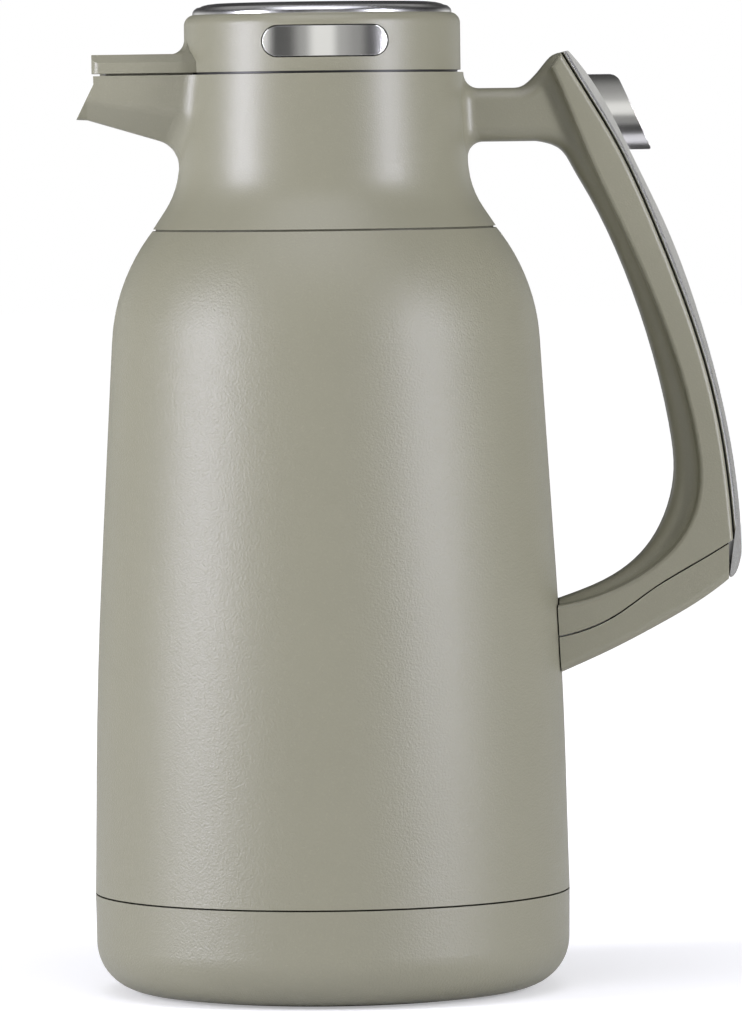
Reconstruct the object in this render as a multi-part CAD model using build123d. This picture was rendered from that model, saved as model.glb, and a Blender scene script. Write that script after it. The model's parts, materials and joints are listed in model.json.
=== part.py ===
from build123d import *
import math
import os

# Two litre insulated carafe, in millimetres. Z is the axis of the body and z = 0 the floor.
# The handle points along +X, the spout along -X.

# Steel body
body_radius = 69.8        # at the base seam, the widest place
body_height = 179.7       # base seam to the corner of the shoulder
waist_height = 65.3       # base seam to the place where the taper begins
waist_taper = 1.3         # radius lost there
body_taper = 8.0          # radius lost at the corner of the shoulder
waist_bend = 1500.0       # radius of the curve at the start of the taper
shoulder_bend = 58.0      # radius of the shoulder's curve
shoulder_rise = 14.5      # corner of the shoulder to the collar seam
seam_radius = 50.5        # body and collar where they meet
outer_sheet = 0.6         # steel of the outer shell
liner_sheet = 0.5         # steel of the inner liner
vacuum_gap = 5.5          # between the two walls
mouth_radius = 31.0       # inside the neck
neck_wall = 2.7           # both sheets and the gap between them at the neck
neck_height = 12.4        # collar seam to the lip
liner_lift = 11.5         # floor to the underside of the liner
shadow_line = 0.6         # open seams between painted parts
seam_depth = 0.9          # how deep they are
bottom_joint = 9.4        # base seam down to the weld of the outer bottom
bottom_corner = 10.0
getter_radius = 9.0
getter_height = 2.6
plug_radius = 4.0

# Base
base_height = 29.4        # floor to the base seam
base_corner = 14.5        # rounding of the lower edge
base_taper = 0.4          # radius lost from the base seam to the floor
base_wall = 2.4
cup_floor = 2.2
pad_inset = 17.8          # pad edge inside the widest radius
pad_thickness = 2.2
pad_stand = 0.6           # how far the pad stands below the cup

# Collar, arm and spout
collar_height = 45.6      # collar seam to the rim
bore_radius = 38.3
rim_wall = 3.0
waist_wall = 4.3          # wall at the narrowest part of the collar
collar_waist = 12.0       # collar seam to the narrowest part
waist_round = 26.0        # hollow curve there
skirt_wall = 2.4
floor_thickness = 2.0
gasket_thickness = 1.0
ring_depth = 6.0          # height of the ring on the neck
ring_reach = 5.3          # how far it stands out from the neck
ring_notches = 12
spout_reach = 31.4        # collar to the tip of the lip
spout_half_width = 16.5   # at its root
spout_tip_half_width = 8.5
spout_wall = 1.9
spout_slope = 0.30        # rise of the spout's underside per millimetre
spout_depth = 21.2        # rim to the spout's underside at its root
spout_flare = 1.4         # how far the lip turns out
spout_blend = 8.0         # spout into the collar

# Handle
handle_foot = 93.3        # floor to the lowest corner of the handle
handle_half_width = 12.5
spine_half_width = 8.0
arm_depth = 15.7
arm_rise = 33.4           # collar seam to the rod in the middle of the arm
arm_drop = 0.45           # rod to the middle of the arm's depth
foot_gap = 0.4            # handle end to the steel body
trim_half_width = 11.7
channel_half_width = 7.0  # groove behind the trim strip
channel_depth = 4.5
channel_ups = (50.0, 130.0)         # ends of that groove above the handle's foot
carrier_screw_ups = (60.0, 112.0)   # screws of the trim carrier above the handle's foot
carrier_head_in = 2.4     # trim's seam to the underside of their heads
cover_wall = 2.2
spine_round = 4.4         # rounding of the spine's inner edges
flange_round = 1.2        # rounding of the outer band's edges
cove_round = 3.0          # hollow between the spine and the outer band
arm_blend = 4.4           # arm into the collar
trim_gap = 0.35           # shadow line between the handle and the trim
trim_round = 1.3
spacer_inset = 2.1        # trim's side to the side of its carrier
cover_gap = 0.5           # shadow line above the lower cover
cover_reach = 48.7        # handle's end to the back of the lower cover
cover_round = 2.5
bracket_half_width = 7.0
bracket_height = 12.0     # of its welded plate
bracket_rise = 16.5       # handle's foot to the top of that plate
bracket_sheet = 1.8
bracket_reach = 14.0      # length of the bracket's tongue
bracket_screw_out = 9.0
bracket_screw_radius = 1.6
bracket_screw_length = 9.0

# Edges of the handle in its side view, millimetres out and up from its lowest corner
grip_drawn = 150.0        # above this height the edges keep their size
arm_drawn = 163.7         # height of the rod as drawn
trim_edge = [
    (1.0, 181.2), (6.9, 171.4), (16.9, 154.3), (27.9, 129.9),
    (38.2, 102.3), (44.1, 81.6), (49.0, 50.7), (50.0, 38.1)]
outer_edge = [
    (3.2, 181.7), (9.1, 174.3), (22.0, 150.1), (30.9, 131.2),
    (40.5, 104.6), (47.8, 76.3), (51.9, 48.0), (52.5, 36.0)]
crease_edge = [
    (-1.9, 177.0), (0.9, 170.7), (8.8, 151.1), (19.9, 126.6), (30.9, 99.4), (39.5, 66.4),
    (40.0, 52.0), (34.5, 38.5), (21.0, 27.0), (10.1, 22.1), (-1.5, 19.4)]
inner_edge = [
    (-3.0, 20.0), (15.2, 27.3), (24.1, 34.3), (31.9, 48.3), (33.7, 59.0), (32.8, 69.4),
    (28.3, 90.6), (19.0, 119.0), (8.7, 140.8), (4.6, 148.0), (0.4, 153.5), (-6.5, 155.4)]
peak_edge = [(-12.2, 171.1), (-7.8, 173.0), (-5.0, 175.9), (-2.2, 179.3), (1.0, 181.2)]
under_edge = [(50.0, 38.1), (39.1, 31.7), (26.6, 24.4), (14.2, 15.9), (5.9, 12.3), (-3.0, 10.3)]
bottom_edge = [
    (cover_reach, 26.4), (39.8, 20.0), (27.7, 13.1), (14.1, 6.2), (0.0, 0.0), (-4.0, -1.7)]

# Thumb button and rod
press_travel = 4.5
press_spare = 0.35        # room behind the fully pressed button
button_half_width = 7.6
button_height = 22.2
button_depth = 9.6
button_out = 22.6         # handle's end to the middle of the button's outer face
button_lean = 5.0         # how far its top and bottom lie to either side of that
core_half_width = 5.0
core_half_height = 4.0
core_out = 2.5            # handle's end to the inner end of the slide
rod_grip = 6.0            # length of rod held in the slide
spring_bore = 4.3
spring_length = 17.0
seal_radius = 4.5         # bush round the rod in the collar's wall
seal_length = 5.0
rod_radius = 2.0
tip_length = 2.5
slide_clearance = 0.15    # flat sliding faces
rod_clearance = 0.05      # round rods in their bores
press_clearance = 0.02    # rods fixed in their holes
spring_wire = 0.8
thumb_coil = 3.3          # radii of the springs, to the middle of the wire
valve_coil = 3.9
release_coil = 2.8
release_wire = 0.7

# Lid and stopper
lid_step = 0.8            # lid radius less than the rim
lid_wall = 2.4
lid_height = 20.1         # underside of the lid to the top of the cap
lid_gap = 0.7             # rim to the underside of the lid
lid_round = 3.2
cap_thickness = 0.8
cap_inset = 2.5           # lid's side to the edge of the steel cap
cap_seat = 16.5           # underside of the lid to the underside of the cap
cap_edge = 1.9            # height of the dome above the cap's side
cap_flat = 0.82           # share of the radius where the dome begins to fall
deck_sheet = 2.2          # plate under the cap
base_rise = 0.15          # rim to the lid's base plate
base_sheet = 2.2          # base plate inside the lid
base_clearance = 0.1      # base plate inside the lid's wall
cover_rise = 5.5          # height of the spout's cover at its front
cover_bevel_rise = 2.4
cover_bevel_run = 3.0
cover_blend = 4.2         # cover into the lid's side
cover_hollow = 2.6        # its hollow underside
cover_front = 5.0         # tip of the spout's lip to the front of the cover
rib_drop = 1.3            # rib under the cover, which reaches down between the spout's sides
rib_sheet = 1.3
skirt_inset = 1.0         # bore to the lid's skirt
skirt_sheet = 1.9
skirt_drop = 7.7          # rim to the lower end of the skirt
skirt_foot = 0.8          # thickness of its foot, which holds the gasket
gasket_height = 2.8
seal_clearance = 0.1      # silicone rings against their bores
screw_inset = 3.5         # stopper's bore to the circle of the lid's screws
screw_radius = 1.25
screw_head_radius = 2.4
screw_head_height = 1.4
stopper_clearance = 0.8   # stopper tube inside the neck
stopper_wall = 2.2
stopper_flange = 2.2      # flange that the lid's screws pull up
stopper_drop = 9.6        # lip to the underside of the stopper
port_radius = 11.5        # opening that the valve closes
plate_thickness = 2.4
deck_rise = 8.5           # collar's floor to the top of the stopper's deck
deck_thickness = 2.0
valve_gap = 0.2
valve_seal_sheet = 0.8
valve_reach = 2.0         # plug beyond the port's edge
plug_height = 4.0         # underside of the plug to its seal's top
stem_radius = 2.5
washer_rise = 9.2         # port plate to the spring's washer
washer_sheet = 1.2
wedge_rise = 2.5          # rod to the top of the valve's wedge
wedge_height = 6.3
wedge_half_width = 4.8
wedge_gap = 0.3
hub_radius = 5.0
bush_radius = 5.0
slider_radius = 3.0
slider_half_height = 3.3
slider_half_width = 5.0
slider_seal_radius = 5.0
tip_gap = 0.8             # pressed rod tip to the stopper

# Release buttons
release_rise = 8.6        # underside of the lid to the middle of the buttons
release_half_length = 18.45
release_height = 9.4
release_travel = 3.0
release_gap = 0.35
release_face = 1.0        # thickness of the polished pill
release_in = 11.3         # bore to the inner end of the latches
release_spring_length = 8.2
latch_half_width = 12.0
latch_half_height = 3.9
latch_depth = 8.0         # inner end of a latch to its wide plug
latch_gap = 0.3
hook_half_width = 7.0
hook_drop = 3.3           # rim to the underside of the hooks
hook_sheet = 1.8
hook_in = 3.9             # bore to the inner face of the hooks

# Heights and radii that follow
corner_z = base_height + body_height
seam_z = corner_z + shoulder_rise
corner_radius = body_radius - body_taper
lip_z = seam_z + neck_height
floor_z = lip_z + gasket_thickness + floor_thickness
rim_z = seam_z + collar_height
rod_z = seam_z + arm_rise
lid_z = rim_z + lid_gap
top_z = lid_z + lid_height
liner_radius = mouth_radius + liner_sheet
neck_radius = mouth_radius + neck_wall
rim_radius = bore_radius + rim_wall
lid_radius = rim_radius - lid_step
cover_x = cover_front - rim_radius - spout_reach
joggle_radius = body_radius - base_wall - base_taper - 0.1
stopper_radius = mouth_radius - stopper_clearance
stopper_inner = stopper_radius - stopper_wall
screw_circle = stopper_inner - screw_inset
stopper_z = lip_z - stopper_drop
cup_floor_z = pad_thickness + cup_floor
bottom_z = cup_floor_z + 0.6
bottom_joint_z = base_height - bottom_joint
pad_radius = body_radius - pad_inset
clip_radius = neck_radius + ring_reach
deck_z = floor_z + deck_rise
head_top = rod_z + wedge_rise
base_under_z = rim_z + base_rise
release_z = lid_z + release_rise
release_back = bore_radius - release_in
release_stop = release_back - release_spring_length
skirt_radius = bore_radius - skirt_inset
cap_radius = lid_radius - cap_inset
cap_z = lid_z + cap_seat
deck_under_z = cap_z - deck_sheet
hook_z = rim_z - hook_drop
hook_inside = bore_radius - hook_in
tip_x = stopper_radius + press_travel + tip_gap
seal_x = bore_radius + seal_length
plug_z = stopper_z - valve_gap - plug_height
washer_z = stopper_z + plate_thickness + washer_rise
arm_top_z = rod_z - arm_drop + arm_depth / 2
arm_low_z = rod_z - arm_drop - arm_depth / 2
bracket_top = handle_foot + bracket_rise
foot_angle = math.atan2(under_edge[-3][1] - under_edge[-2][1], under_edge[-3][0] - under_edge[-2][0])


def outline(points):
    """Closed outline in the XZ plane from (x, z) or (x, z, corner radius), limited by the sides."""
    corners = [(point + (0.0,))[:3] for point in points]
    radii = []
    for index, (x, z, radius) in enumerate(corners):
        before = corners[index - 1]
        after = corners[(index + 1) % len(corners)]
        turn = math.atan2(after[1] - z, after[0] - x) - math.atan2(z - before[1], x - before[0])
        turn = abs((turn + math.pi) % (2 * math.pi) - math.pi)
        reach = []
        for other in (before, after):
            share = 0.49 if other[2] else 0.98
            reach.append(share * math.hypot(other[0] - x, other[1] - z))
        radii.append(min(radius, min(reach) / math.tan(turn / 2)))
    path = FilletPolyline(*[(x, 0, z) for x, z, radius in corners], radius=radii, close=True)
    return Face(path)


def turned(points):
    """Solid of revolution about the axis of the body."""
    return revolve(outline(points), Axis.Z)


def slab(points, half_width):
    """Outline in the XZ plane, given a thickness to both sides of it."""
    return extrude(outline(points), half_width, dir=(0, 1, 0), both=True)


def block(x0, x1, y0, y1, z0, z1):
    """Rectangular block between two corners, given in any order."""
    box = Box(abs(x1 - x0), abs(y1 - y0), abs(z1 - z0))
    return Pos((x0 + x1) / 2, (y0 + y1) / 2, (z0 + z1) / 2) * box


def rod(radius, start, end):
    """Round bar between two points."""
    run = Vector(*end) - Vector(*start)
    return Plane(origin=start, z_dir=run) * Cylinder(
        radius, run.length, align=(Align.CENTER, Align.CENTER, Align.MIN))


def tube(outer, inner, z0, z1):
    """Upright ring."""
    return rod(outer, (0, 0, z0), (0, 0, z1)) - rod(inner, (0, 0, z0 - 1), (0, 0, z1 + 1))


def screw(radius, head_radius, head_height, length):
    """Screw with its head's underside at z = 0 and its shank upwards; the head has a cross slot."""
    body = rod(radius, (0, 0, 0), (0, 0, length)) + rod(head_radius, (0, 0, -head_height), (0, 0, 0))
    reach = head_radius * 0.6
    slot = block(-reach, reach, -0.3, 0.3, -head_height - 1, -head_height / 2)
    return body - slot - slot.rotate(Axis.Z, 90)


def biarc(start, start_way, end, end_way):
    """Two arcs that leave one point and reach the next along given directions."""
    span = end - start
    ways = start_way + end_way
    spread = 2 * (1 - start_way.dot(end_way))
    along = span.dot(ways)
    reach = (math.sqrt(along * along + spread * span.dot(span)) - along) / spread
    middle = (start + end + (start_way - end_way) * reach) / 2
    first = TangentArc(start, middle, tangent=start_way)
    return [first, TangentArc(middle, end, tangent=first % 1)]


def coil(radius, wire, turns, length):
    """Open coil spring standing on z = 0, as one unbroken tube."""
    rise = length - wire
    steps = turns * 4
    pitch_way = rise / (turns * 2 * math.pi)
    places = []
    for step in range(steps + 1):
        angle = step * math.pi / 2
        place = Vector(radius * math.cos(angle), radius * math.sin(angle), wire / 2 + rise * step / steps)
        way = Vector(-radius * math.sin(angle), radius * math.cos(angle), pitch_way).normalized()
        places.append((place, way))
    edges = []
    for (start, start_way), (end, end_way) in zip(places, places[1:]):
        edges += biarc(start, start_way, end, end_way)
    path = Wire(edges)
    marks = [path @ (index / (24 * turns)) for index in range(24 * turns + 1)]
    apart = min((one - other).length for index, one in enumerate(marks) for other in marks[index + 12:])
    print("coil's least gap to itself", round(apart - wire, 2))
    section = Plane(origin=places[0][0], z_dir=places[0][1]) * Circle(wire / 2)
    return sweep(section, path=path)


def body_radius_at(z):
    """Outside radius of the steel body between the base seam and the shoulder."""
    waist_z = base_height + waist_height
    share = (z - waist_z) / (corner_z - waist_z)
    return body_radius - waist_taper - (body_taper - waist_taper) * share


def shell_form(inset):
    """Filled form of the outer shell, its whole surface moved inwards by inset."""
    step = base_height + 0.2
    bottom = bottom_joint_z if inset == 0 else bottom_joint_z - 1
    top = lip_z if inset == 0 else lip_z + 1
    return turned([
        (0, bottom),
        (joggle_radius - inset, bottom),
        (joggle_radius - inset, step - 0.35 + inset),
        (body_radius - inset, step + inset),
        (body_radius - waist_taper - inset, base_height + waist_height, waist_bend),
        (corner_radius - inset, corner_z, shoulder_bend),
        (seam_radius - inset, seam_z - inset * 0.8),
        (seam_radius - skirt_wall - inset, seam_z - inset * 0.8),
        (neck_radius - inset + 2.0, seam_z + 3.4 - inset, 3.0),
        (neck_radius - inset, seam_z + 5.2, 1.5),
        (neck_radius - inset, top),
        (0, top),
    ])


def liner_form(inset):
    """Filled form of the inner liner, its whole surface moved inwards by inset."""
    step_in = outer_sheet + vacuum_gap + inset
    bottom = liner_lift + inset
    top = lip_z if inset == 0 else lip_z + 1
    return turned([
        (0, bottom),
        (body_radius - step_in, bottom, 16.0),
        (body_radius - waist_taper - step_in, base_height + waist_height, waist_bend),
        (corner_radius - step_in, corner_z - 3.0, shoulder_bend),
        (seam_radius - 4.8 - inset, seam_z - 4.2 - inset, 8.0),
        (liner_radius - inset, seam_z + 1.5, 6.0),
        (liner_radius - inset, top),
        (0, top),
    ])


def outer_shell():
    """Painted steel outer wall, rolled in at the lip to meet the liner."""
    wall = shell_form(0) - shell_form(outer_sheet)
    lip = tube(neck_radius - outer_sheet, liner_radius, lip_z - outer_sheet, lip_z)
    return wall + lip


def inner_liner():
    """Steel wall that holds the drink."""
    return liner_form(0) - liner_form(liner_sheet)


def outer_bottom():
    """Steel cup welded under the outer shell."""
    form = turned([
        (0, bottom_z),
        (joggle_radius, bottom_z, bottom_corner),
        (joggle_radius, bottom_joint_z),
        (0, bottom_joint_z),
    ])
    inner = turned([
        (0, bottom_z + outer_sheet),
        (joggle_radius - outer_sheet, bottom_z + outer_sheet, bottom_corner - outer_sheet),
        (joggle_radius - outer_sheet, bottom_joint_z + 1),
        (0, bottom_joint_z + 1),
    ])
    return form - inner


def getter():
    """Getter capsule inside the vacuum, on the outer bottom."""
    low = bottom_z + outer_sheet
    top = low + getter_height
    return turned([(0, low), (getter_radius, low), (getter_radius, top, 0.8), (0, top)])


def vacuum_plug():
    """Solder plug that closes the evacuated space, in the middle of the bottom."""
    low = bottom_z - 0.5
    return turned([(0, low), (plug_radius, low, 0.3), (plug_radius, bottom_z), (0, bottom_z)])


def base_cup():
    """Painted cup that closes the body below the base seam."""
    low = pad_stand
    form = turned([
        (0, low),
        (body_radius - base_taper, low, base_corner),
        (body_radius, base_height - shadow_line / 2),
        (0, base_height - shadow_line / 2),
    ])
    inner = turned([
        (0, cup_floor_z),
        (joggle_radius + 0.1, cup_floor_z, bottom_corner + 0.5),
        (joggle_radius + 0.1, base_height + 1),
        (0, base_height + 1),
    ])
    return form - inner - rod(pad_radius + 0.1, (0, 0, -1), (0, 0, pad_thickness))


def base_pad():
    """Silicone pad that the carafe stands on."""
    return turned([(0, 0), (pad_radius, 0, 0.5), (pad_radius, pad_thickness), (0, pad_thickness)])


def neck_ring():
    """Threaded ring on the neck that the collar clips over."""
    ring = tube(clip_radius, neck_radius + rod_clearance, lip_z - ring_depth, lip_z)
    notch = block(clip_radius - 0.8, clip_radius + 1, -1.5, 1.5, lip_z - 3, lip_z + 1)
    for index in range(ring_notches):
        ring -= notch.rotate(Axis.Z, index * 360 / ring_notches)
    return ring


def collar_gasket():
    """Silicone washer between the lip and the collar's floor."""
    return tube(clip_radius, mouth_radius + 0.2, lip_z, lip_z + gasket_thickness)


def spout_section(x, shrink):
    """Section of the spout across X, its sides and keel moved inwards by shrink."""
    share = (x + rim_radius) / -spout_reach
    half = spout_half_width + (spout_tip_half_width - spout_half_width) * share - shrink
    keel = rim_z - spout_depth + (-x - rim_radius) * spout_slope + shrink
    top = rim_z + 1.0 if shrink > 0 else rim_z
    side = keel + 0.45 * (rim_z - keel)
    foot = half * 0.42
    return Face(FilletPolyline(
        (x, half, top), (x, half * 0.93, side), (x, foot, keel),
        (x, -foot, keel), (x, -half * 0.93, side), (x, -half, top),
        radius=[0, 5.0, 2.4, 2.4, 5.0, 0], close=True))


def spout_form(shrink):
    """Beak of the spout with its flared lip."""
    root = -rim_radius + 9.0
    lip = -rim_radius - spout_reach + 3.6
    tip = -rim_radius - spout_reach - 2.0
    beak = loft([spout_section(root, shrink), spout_section(lip, shrink)], ruled=True)
    flare = loft([spout_section(lip, shrink), spout_section(tip, shrink - spout_flare)], ruled=True)
    return beak + flare


def spout_mouth():
    """Space in front of the spout's slanted edge."""
    front = -rim_radius - spout_reach
    return slab([
        (front + 5.4, rim_z + 2), (front + 5.5, rim_z - 2.4), (front, rim_z - 13.4),
        (front - 2.0, rim_z - 20.0), (front - 30.0, rim_z - 20.0), (front - 30.0, rim_z + 2),
    ], 40.0)


foot_x = body_radius_at(handle_foot) - 0.2
core_x = foot_x + core_out
spring_x = core_x - spring_length


def grip(out, up, push=0.0):
    """Place on the handle's side view from its lowest corner; the grip stretches, its top doesn't."""
    if up > grip_drawn:
        return Vector(foot_x + out + push, 0, rod_z - arm_drawn + up)
    stretch = (rod_z - arm_drawn + grip_drawn - handle_foot) / grip_drawn
    return Vector(foot_x + out + push, 0, handle_foot + up * stretch)


def line_of(points, push=0.0):
    """Smooth edge through places on the handle."""
    return Spline(*[grip(out, up, push) for out, up in points])


def joined(*edges):
    """Closed face from edges in order, with straight lines over the gaps between them."""
    run = []
    for edge, after in zip(edges, edges[1:] + edges[:1]):
        run.append(edge)
        if ((edge @ 1) - (after @ 0)).length > 0.001:
            run.append(Line(edge @ 1, after @ 0))
    return Face(Wire(run))


def plate(face, half_width):
    """Flat side view given a thickness to both sides of the XZ plane."""
    return extrude(face, half_width, dir=(0, 1, 0), both=True)


def spine_form():
    """Arm and inner spine of the handle."""
    arm_top = Vector(bore_radius - 6.0, 0, arm_top_z)
    arm_low = Vector(bore_radius - 6.0, 0, arm_low_z)
    peak = Spline(*[grip(*point) for point in peak_edge], tangents=[(1, 0, 0), (1, 0, 0.25)])
    inner = Spline(*[grip(*point) for point in inner_edge],
                   tangents=[(1, 0, 0.35), (-1, 0, 0)], tangent_scalars=[1, 0.5])
    back = line_of(trim_edge)
    under = line_of(under_edge)
    face = joined(Line(arm_top, peak @ 0), peak, back, under, inner, Line(inner @ 1, arm_low))
    return plate(face, spine_half_width)


def flange_form():
    """Wide outer band of the handle that carries the trim strip."""
    face = joined(line_of(trim_edge), line_of(under_edge), line_of(crease_edge[::-1]))
    return plate(face, handle_half_width)


def collar_outside():
    """Filled collar, as a turned form."""
    return turned([
        (0, seam_z),
        (seam_radius - seam_depth, seam_z),
        (seam_radius - seam_depth, seam_z + shadow_line),
        (seam_radius - 0.2, seam_z + shadow_line),
        (bore_radius + waist_wall + 0.1, seam_z + collar_waist, waist_round),
        (rim_radius, rim_z),
        (0, rim_z),
    ])


def collar_hollow():
    """Space under the collar's floor, with the clip that snaps under the neck ring left standing."""
    inside = bore_radius + 2.6
    space = turned([
        (0, seam_z - 1),
        (seam_radius - skirt_wall, seam_z - 1),
        (seam_radius - skirt_wall, seam_z + shadow_line),
        (inside, seam_z + collar_waist - 0.7),
        (inside, lip_z + gasket_thickness),
        (0, lip_z + gasket_thickness),
    ])
    low = lip_z - ring_depth
    clip = turned([
        (inside, lip_z + gasket_thickness + 1),
        (clip_radius + rod_clearance, lip_z + gasket_thickness + 1),
        (clip_radius + rod_clearance, low - 0.1),
        (clip_radius - 1.4, low - 0.1),
        (clip_radius - 0.2, low - 1.3),
        (inside, low - 1.3),
    ])
    return space - clip


def near(solid, point, count=1):
    """Edges of a solid whose middles lie nearest to a point."""
    return sorted(solid.edges(), key=lambda edge: ((edge @ 0.5) - Vector(*point)).length)[:count]


def handle_form():
    """Arm, spine and outer band as one form, rounded where the hand goes round it."""
    spine = spine_form()
    middle = (bore_radius + foot_x - 20) / 2
    grip_middle = grip(*inner_edge[5])
    peak_middle = grip(*peak_edge[2])
    long_edges = []
    for side in (-spine_half_width, spine_half_width):
        long_edges += near(spine, (middle, side, arm_top_z))
        long_edges += near(spine, (middle, side, arm_low_z))
        long_edges += near(spine, (grip_middle.X, side, grip_middle.Z))
        long_edges += near(spine, (peak_middle.X, side, peak_middle.Z))
    spine = fillet(long_edges, spine_round)
    flange = flange_form()
    crease_middle = grip(*crease_edge[4])
    trim_middle = grip(*trim_edge[4])
    facet_middle = (grip(*crease_edge[0]) + grip(*trim_edge[0])) / 2
    soft_edges = []
    for side in (-handle_half_width, handle_half_width):
        soft_edges += near(flange, (crease_middle.X, side, crease_middle.Z))
        soft_edges += near(flange, (trim_middle.X, side, trim_middle.Z))
        soft_edges += near(flange, (facet_middle.X, side, facet_middle.Z))
    flange = fillet(soft_edges, flange_round)
    handle = spine + flange
    cove = [edge for edge in handle.edges()
            if abs(abs((edge @ 0.5).Y) - spine_half_width) < 0.3 and edge.length > 20
            and (edge @ 0.5).X > foot_x + 15]
    return fillet(cove, cove_round)


def pill(half_length, height, side):
    """Bar through one side of the lid with the section of a release button."""
    section = Plane.XZ * Pos(0, release_z) * SlotOverall(2 * half_length, height)
    start = release_back + latch_depth if height < release_height else release_back + 1.0
    return Pos(0, side * start, 0) * extrude(section, lid_radius, dir=(0, side, 0))


def button_outline(depth, spare, reach):
    """Side view of the thumb button: depth behind its outer face, spare all round, reach before it."""
    high = button_height / 2 + spare
    lean = button_lean * high / (button_height / 2)
    outer = foot_x + button_out + reach
    inner = foot_x + button_out - depth - spare
    corner = 0.0 if reach else 2.0
    foot = 0.0 if reach else 0.5
    return [
        (outer - lean, rod_z + high, corner), (outer + lean, rod_z - high, foot),
        (inner + lean, rod_z - high), (inner - lean, rod_z + high),
    ]


def foot_seam_z(out):
    """Height of the handle's lower seam near the body, out from the handle's end."""
    start_out, start_up = under_edge[-2]
    return handle_foot + start_up + (out - start_out) * math.tan(foot_angle)


def bracket_line(rise, out0, out1):
    """Straight run beside the handle's lower seam, rise above it, as two corners."""
    return [(foot_x + out, foot_seam_z(out) + rise) for out in (out0, out1)]


def at_foot(part):
    """Part drawn along Z at the origin, moved to the bracket's screw and leaned square to the seam."""
    place = Pos(foot_x + bracket_screw_out, 0, foot_seam_z(bracket_screw_out))
    return place * Rot(0, -math.degrees(foot_angle), 0) * part


def trim_x(z):
    """Distance of the trim's seam from the axis at a height on the grip."""
    places = [grip(*point) for point in trim_edge]
    for high, low in zip(places, places[1:]):
        if low.Z <= z <= high.Z:
            return low.X + (high.X - low.X) * (z - low.Z) / (high.Z - low.Z)


def channel_form(spare, push):
    """Groove behind the trim strip, or what fills it: from below the button to above the lower seam."""
    low, high = [grip(0, up).Z for up in channel_ups]
    strip = plate(joined(line_of(trim_edge, push), line_of(trim_edge[::-1], -channel_depth + spare)),
                  channel_half_width - spare)
    return strip & block(0, 2 * body_radius, -body_radius, body_radius, low + spare, high - spare)


def carrier_screw_places():
    """Where the screws of the trim carrier go into the handle."""
    return [(trim_x(z), z) for z in [grip(0, up).Z for up in carrier_screw_ups]]


def handle_openings():
    """Pockets and bores for the thumb button, its spring and rod, the trim carrier and the bracket."""
    tongue = bracket_line(0.2, -6.0, bracket_reach + 0.3)
    tongue += bracket_line(-12.0, -6.0, bracket_reach + 0.3)[::-1]
    cuts = [
        slab(button_outline(button_depth + press_travel + press_spare, slide_clearance, 25.0),
             button_half_width + slide_clearance),
        block(core_x - press_travel - 0.5, core_x + 16.0, -core_half_width - slide_clearance,
              core_half_width + slide_clearance, rod_z - core_half_height - slide_clearance,
              rod_z + core_half_height + slide_clearance),
        rod(spring_bore, (spring_x, 0, rod_z), (core_x, 0, rod_z)),
        rod(rod_radius + rod_clearance, (bore_radius - 6, 0, rod_z), (core_x, 0, rod_z)),
        rod(seal_radius, (bore_radius - 6, 0, rod_z), (seal_x, 0, rod_z)),
        channel_form(0.0, 2.0),
        slab(tongue, bracket_half_width + 0.2),
        block(foot_x - 6, foot_x + 2.2, -bracket_half_width - 1.2, bracket_half_width + 1.2,
              handle_foot, bracket_top + 0.3),
        at_foot(rod(bracket_screw_radius, (0, 0, -6), (0, 0, bracket_screw_length))),
    ]
    for x, z in carrier_screw_places():
        cuts.append(rod(1.1, (x - 10.0, 0, z), (x, 0, z)))
    return cuts


def collar_and_handle():
    """One moulding: collar, spout, arm and grip."""
    handle = handle_form() - shell_form(-foot_gap)
    collar = collar_outside() + spout_form(0) - spout_mouth()
    beak = [edge for edge in collar.edges()
            if -rim_radius - 6 < (edge @ 0.5).X < -rim_radius + 10 and edge.length < 20
            and seam_z + 20 < (edge @ 0.5).Z < rim_z - 0.5]
    body = fillet(beak, spout_blend) + handle
    root = [edge for edge in body.edges()
            if abs((edge @ 0.5).X - rim_radius) < 2 and 1 < abs((edge @ 0.5).Y) < arm_depth
            and abs((edge @ 0.5).Z - rod_z) < arm_depth * 0.6]
    body = fillet(root, arm_blend)
    body -= collar_hollow()
    body -= rod(mouth_radius + 0.2, (0, 0, lip_z), (0, 0, floor_z + 1))
    body -= rod(bore_radius, (0, 0, floor_z), (0, 0, rim_z + 2))
    channel = spout_form(spout_wall) - rod(bore_radius - 8, (0, 0, floor_z), (0, 0, rim_z + 2))
    body -= channel
    for side in (-1, 1):
        notch = block(-hook_half_width - 1, hook_half_width + 1, 0, side * (bore_radius + 3),
                      hook_z - latch_gap, hook_z + hook_sheet + latch_gap)
        body -= notch & rod(bore_radius + 1.3, (0, 0, hook_z - 1), (0, 0, rim_z))
    for cut in handle_openings():
        body -= cut
    return body


def rod_seal():
    """Bush and seal round the push rod where it enters the wet side."""
    bush = rod(seal_radius, (bore_radius + 0.4, 0, rod_z), (seal_x, 0, rod_z))
    return bush - rod(rod_radius + rod_clearance, (0, 0, rod_z), (seal_x + 1, 0, rod_z))


def trim_carrier():
    """Dark strip that the trim is fixed to; it holds trim and handle apart by a shadow line."""
    body = channel_form(slide_clearance, trim_gap)
    button_low = rod_z - button_height / 2 - slide_clearance
    spacer = joined(line_of(trim_edge), line_of(trim_edge[::-1], trim_gap))
    below = block(0, 2 * body_radius, -body_radius, body_radius, handle_foot, button_low - 0.3)
    body += plate(spacer, trim_half_width - spacer_inset) & below
    for x, z in carrier_screw_places():
        body -= rod(1.3, (x - 10, 0, z), (x + 5, 0, z))
        body -= rod(2.7, (x - carrier_head_in, 0, z), (x + 5, 0, z))
    return body


def carrier_screws():
    """Screws that hold the trim carrier to the handle."""
    return [Pos(x - carrier_head_in, 0, z) * Rot(0, -90, 0) * screw(1.1, 2.4, 1.4, 7.0)
            for x, z in carrier_screw_places()]


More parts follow.
